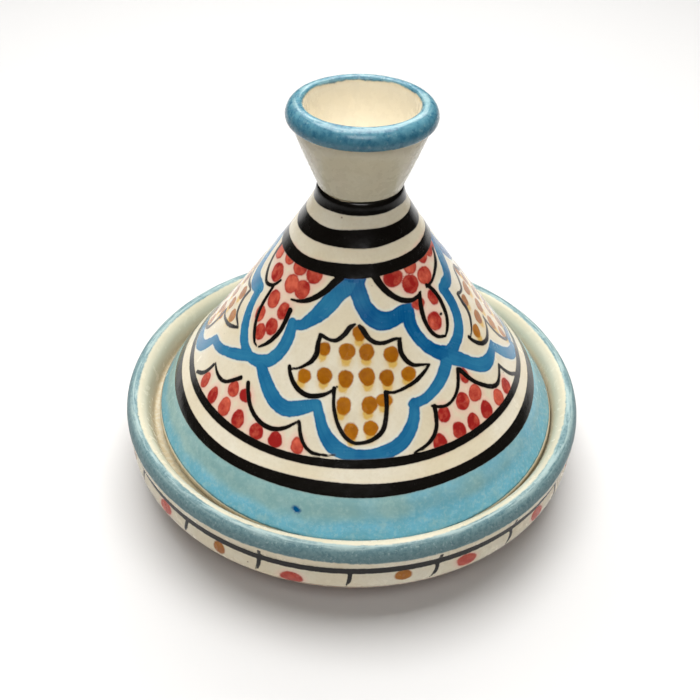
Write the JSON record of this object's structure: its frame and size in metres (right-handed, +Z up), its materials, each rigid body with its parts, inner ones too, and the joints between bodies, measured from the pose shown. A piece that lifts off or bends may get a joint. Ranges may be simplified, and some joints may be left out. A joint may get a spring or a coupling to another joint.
{
  "type": "tagine pot",
  "caption": "Shallow glazed dish with a ledge inside its rolled rim, and a tall hollow cone lid that sits on the ledge and lifts off by a cup-shaped knob.",
  "frame": {"origin": "middle of the foot ring, on the surface that the dish stands on", "axes": "+Z up along the axis that the dish and the lid were turned about; -Y is the side with the ochre palmette that faces the viewer"},
  "size_m": [0.2, 0.2, 0.1716],
  "materials": {
    "dish_glaze": "glossy cream tin glaze with a worn blue rim, a thin black line, ticks and red and ochre dots",
    "lid_glaze": "glossy cream tin glaze brushed with blue scallops, black rings and outlines, red and ochre dots and a turquoise skirt",
    "knob_glaze": "glossy cream tin glaze with a blue rolled lip"
  },
  "bodies": {
    "dish": {"dish": "dish_glaze"},
    "lid": {"lid_cone": "lid_glaze", "knob_cup": "knob_glaze"}
  },
  "joints": [
    {"name": "lid_lift", "type": "slide", "parent": "dish", "child": "lid", "axis": [0, 0, 1], "range_m": [0, 0.15]}
  ]
}
